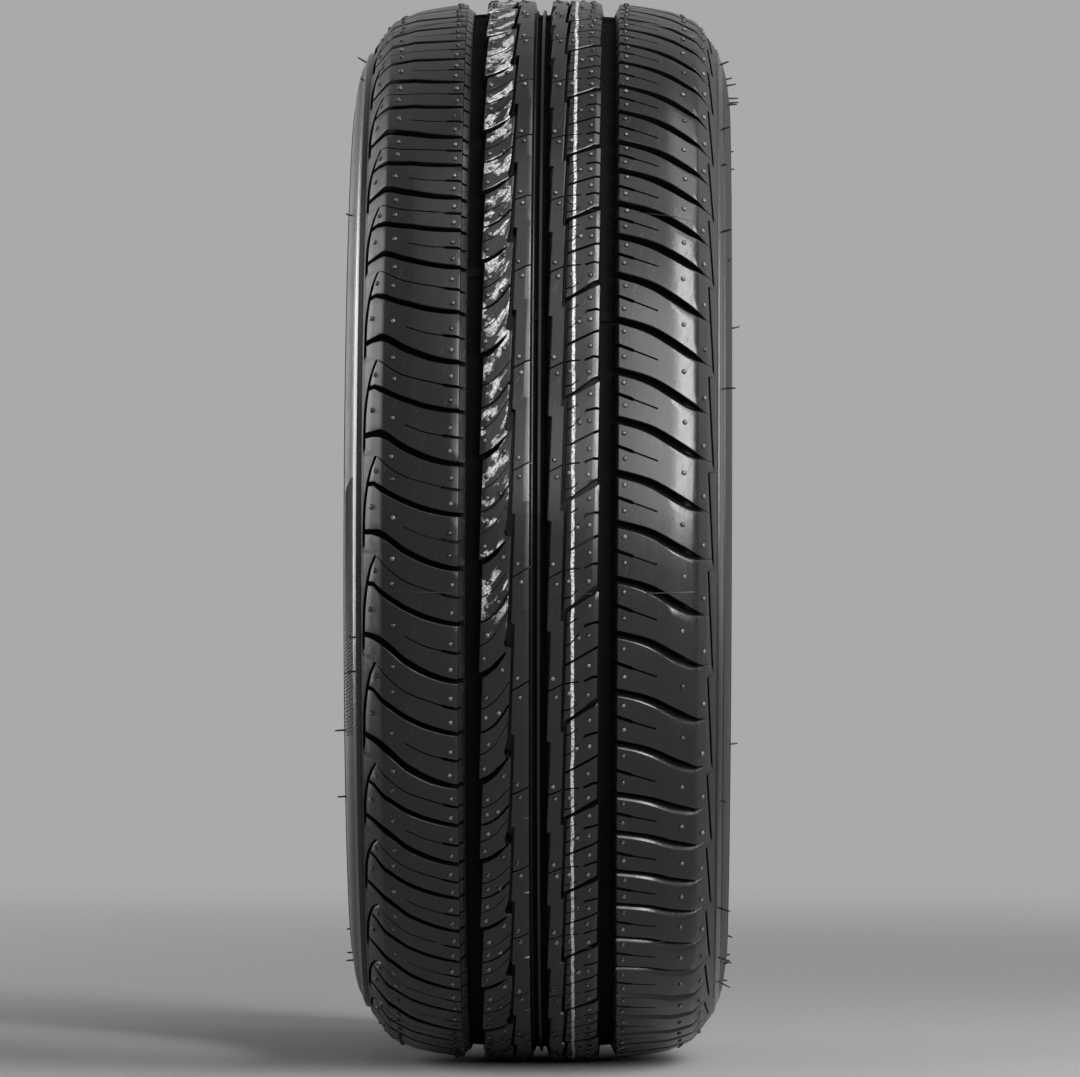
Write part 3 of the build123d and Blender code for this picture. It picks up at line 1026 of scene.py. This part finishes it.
rubber, pen = new_finish("tyre_rubber")
place = pen.node("ShaderNodeTexCoord", {}, {}, "Object")
x_at = pen.node("ShaderNodeSeparateXYZ", {}, {0: place}, "X")
z_at = x_at.other("Z")
y_mm = x_at.other("Y") / MM
radius_mm = (x_at * x_at + z_at * z_at) ** 0.5 / MM
angle = z_at.math("ARCTAN2", x_at)
from_middle = abs(y_mm)
depth_mm = OUTER_RADIUS - tread_drop(y_mm) - radius_mm

on_tread_side = 1 - from_middle.rise(*BUTTRESS_END)
shallower = (from_middle - SHALLOWER_FROM).math("MAXIMUM", 0) * SHALLOWER_SHARE
in_cut = (depth_mm + shallower).rise(*CUT_DEPTH) * depth_mm.rise(*LIP_DEPTH) * on_tread_side
in_ring = radius_mm.inside(*LEFT_RINGS[0][:2], 0.15) * (y_mm < SUNK_RING_Y)
# A painted shadow ring: the dull finish on the sides of every pip.
pip_painted_shadow = depth_mm.inside(*PIP_SHADOW_DEPTHS, 0.06) * on_tread_side
# A painted highlight: pale grey on the ends of pips.
pip_painted_highlight = (1 - depth_mm.rise(*PIP_TOP)) * on_tread_side
on_wall = 1 - radius_mm.rise(*WALL_FROM)
left_foot = y_mm.inside(*LEFT_FOOT, 0.4)
on_top = depth_mm.inside(*TREAD_TOP, 0.15)
on_buttress = from_middle.inside(*BUTTRESS, 0.5)

upright = angle - HATCH_LEAN * (radius_mm - float(HATCH_RADII.mean()))
laps = upright / math.radians(HATCH_LAP) + HATCH_REPEATS - HATCH_FIRST / HATCH_LAP
in_hatch = (laps.math("FRACT") * HATCH_LAP).inside(HATCH_START, HATCH_END, 0.15) * (y_mm < LEFT_WALL_Y)
in_hatch = in_hatch * radius_mm.inside(HATCH_RADII[0], HATCH_RADII[-1], 0.2)
# Where the dull finish goes. In the grooves and the sunk ring it is partly matte rubber and partly painted
# shade of these recesses. On the pips' sides it is a painted shadow, and in the hatched band's gaps it is
# painted shade. The sidewall and the left foot get a share of it.
dull_and_shade_share = in_cut
for share in (in_ring, pip_painted_shadow, on_wall * WALL_DULL, left_foot * FOOT_DULL, in_hatch * HATCH_GAP_SHADE):
    dull_and_shade_share = dull_and_shade_share.math("MAXIMUM", share)
print("nodes that tell the place:", len(rubber.node_tree.nodes))

# %% [markdown]
# ## Paint
# A white line marks the right rib, and a broad mark on the left rib has mostly rubbed off. Such marks
# tell tyres apart in a stack. The line wavers a little and is speckled. The mark is left only in patches,
# drawn out along the barbs of the rib. A flat decal could carry both, but noise wears them more freely.

# %% Paint
LINE_EDGES = (17.9, 19.6)
LINE_WANDER = 2.0
MARK_EDGES = (-34.3, -18.4)
MARK_ANGLES = (math.radians(-9), math.radians(150))
MARK_THICKER = (math.radians(-20), math.radians(75))
MARK_KEPT = (0.535, 0.61)
BARB_CURVE = 0.055
BARB_FOOT_Y = 34


def noise(vector, scale, detail, roughness=0.5):
    """Cloudy noise at a vector, with this many blobs to each unit of it."""
    sockets = {"Vector": vector, "Scale": scale, "Detail": detail, "Roughness": roughness}
    return pen.node("ShaderNodeTexNoise", {}, sockets, "Fac")


def stretched(first, second, third):
    """A vector of three values. Noise over it is drawn out along the one that changes least."""
    return pen.node("ShaderNodeCombineXYZ", {}, {0: first, 1: second, 2: third})


worn = noise(place, 900, 3, 0.6)
wander = noise(place, 70, 2, 0.5)
line_y = y_mm + (wander - 0.5) * LINE_WANDER
line = line_y.inside(*LINE_EDGES, 0.25) * (0.15 + 0.85 * worn.rise(0.38, 0.54)) * on_top
up_barbs = angle * OUTER_RADIUS - BARB_CURVE * (y_mm + BARB_FOOT_Y) * (y_mm + BARB_FOOT_Y)
patches = noise(stretched(up_barbs * 0.085, y_mm * 0.07, angle * 0.7), 1.0, 5.0, 0.62)
thicker = 0.05 * angle.rise(*MARK_THICKER)
mark = (patches + thicker).rise(*MARK_KEPT) * y_mm.inside(*MARK_EDGES, 0.4) * on_top
mark = mark * angle.inside(*MARK_ANGLES, 0.06) * (0.2 + 0.8 * worn.rise(0.36, 0.60))
painted = line.math("MAXIMUM", mark)
print("nodes with the paint:", len(rubber.node_tree.nodes))

# %% [markdown]
# ## Rubber
# Cured rubber is a dark grey that never gets quite black. Where the mould pressed it flat it has a satin
# gleam, a very fine grain and a little unevenness. The sidewalls are rougher and a little paler, and
# scuffs cross the shoulders. Two plain finishes, satin and dull, are mixed by the places worked out above.
# The dull one has almost no sheen. In the grooves and the sunk ring it is partly matte rubber and partly
# painted shade. Round each pip it is a painted shadow, and in the gaps of the hatched band it is painted
# shade.
# A pale grey on the ends of some pips is a painted highlight.

# %% Rubber
RUBBER_DARK = (0.003, 0.003, 0.0031, 1)
RUBBER_PALE = (0.007, 0.007, 0.0072, 1)
# Colour of the dull finish: partly matte groove rubber, partly painted shade in recesses.
DULL_AND_SHADE_RUBBER = (0.004, 0.004, 0.004, 1)
SCUFFED = (0.035, 0.035, 0.035, 1)
WALL_RUBBER = (0.016, 0.016, 0.016, 1)
# Pale grey on the ends of some pips, a painted highlight.
PIP_HIGHLIGHT_GREY = (0.12, 0.12, 0.12, 1)
LINE_PAINT = (0.62, 0.62, 0.61, 1)
MARK_PAINT = (0.57, 0.57, 0.565, 1)
SHEEN = 0.55
DULL_AND_SHADE_SHEEN = 0.05
DULL_ROUGHNESS = 0.85
BUMP_STRENGTH = 0.7
BUMP_DISTANCE = 0.0003
SCUFF_SLANT = 0.35


def tint(share, low, high):
    """A colour between two, each a colour or a wire."""
    return pen.node("ShaderNodeMix", {"data_type": "RGBA"}, {0: share, 6: low, 7: high}, 2)


uneven = noise(place, 45, 4, 0.6)
grain = noise(place, 2400, 2, 0.5)
streaks = noise(stretched(angle * 40, y_mm * 0.5, radius_mm * 0.2), 1.0, 3.0)
along_scuff = (angle * OUTER_RADIUS + SCUFF_SLANT * y_mm) * 0.05
across_scuff = (y_mm - SCUFF_SLANT * OUTER_RADIUS * angle) * 1.3
scuff = noise(stretched(along_scuff, across_scuff, 0.0), 1.0, 2.0).rise(0.66, 0.74)
height = (0.15 + 0.6 * on_buttress) * grain + 0.3 * painted + 0.2 * streaks + 0.15 * scuff
bump_sockets = {"Strength": BUMP_STRENGTH, "Distance": BUMP_DISTANCE, "Height": height}
bump = pen.node("ShaderNodeBump", {}, bump_sockets)

bare = tint(scuff * 0.6, tint(uneven, RUBBER_DARK, RUBBER_PALE), SCUFFED)
bare = tint(on_wall, bare, WALL_RUBBER)
marked = tint(line, tint(mark, bare, MARK_PAINT), LINE_PAINT)
# The pips' pale ends are a painted highlight, on some pips only.
skin_colour = tint(pip_painted_highlight * uneven.rise(0.3, 0.6), marked, PIP_HIGHLIGHT_GREY)
satin = 0.13 + 0.11 * uneven + 0.12 * streaks + 0.3 * painted + 0.1 * on_buttress + 0.3 * on_wall
skin = pen.node("ShaderNodeBsdfPrincipled", {}, {
    "Base Color": skin_colour, "Roughness": satin, "Normal": bump, "Specular IOR Level": SHEEN,
})
# The dull finish, with almost no sheen. In the grooves and the sunk ring it is matte rubber and painted
# shade. Round the pips it is a painted shadow, and in the hatch gaps it is painted shade.
dull_and_shade_finish = pen.node("ShaderNodeBsdfPrincipled", {}, {
    "Base Color": DULL_AND_SHADE_RUBBER, "Roughness": DULL_ROUGHNESS, "Normal": bump,
    "Specular IOR Level": DULL_AND_SHADE_SHEEN,
})
both = pen.node("ShaderNodeMixShader", {}, {0: dull_and_shade_share, 1: skin, 2: dull_and_shade_finish})
pen.node("ShaderNodeOutputMaterial", {}, {"Surface": both})
for piece in (tyre, pips, hairs, bars, mould_lines):
    piece.data.materials.append(rubber)
print("rubber nodes:", len(rubber.node_tree.nodes))

# %% [markdown]
# ## Ridges of the hatched band
# The ridges are too narrow to gleam for long, so their pale look against the wall between them is a
# painted highlight: they get one plain paler finish.

# %% Ridges of the hatched band
# A paler grey on the ridges, a painted highlight.
RIDGE_HIGHLIGHT_GREY = (0.09, 0.09, 0.09, 1)
RIDGE_ROUGHNESS = 0.4

ridge_painted_highlight, pen = new_finish("ridge_painted_highlight")
ridge = pen.node("ShaderNodeBsdfPrincipled", {}, {
    "Base Color": RIDGE_HIGHLIGHT_GREY, "Roughness": RIDGE_ROUGHNESS, "Specular IOR Level": SHEEN,
})
pen.node("ShaderNodeOutputMaterial", {}, {"Surface": ridge})
hatch.data.materials.append(ridge_painted_highlight)
print("ridges carry", ridge_painted_highlight.name)
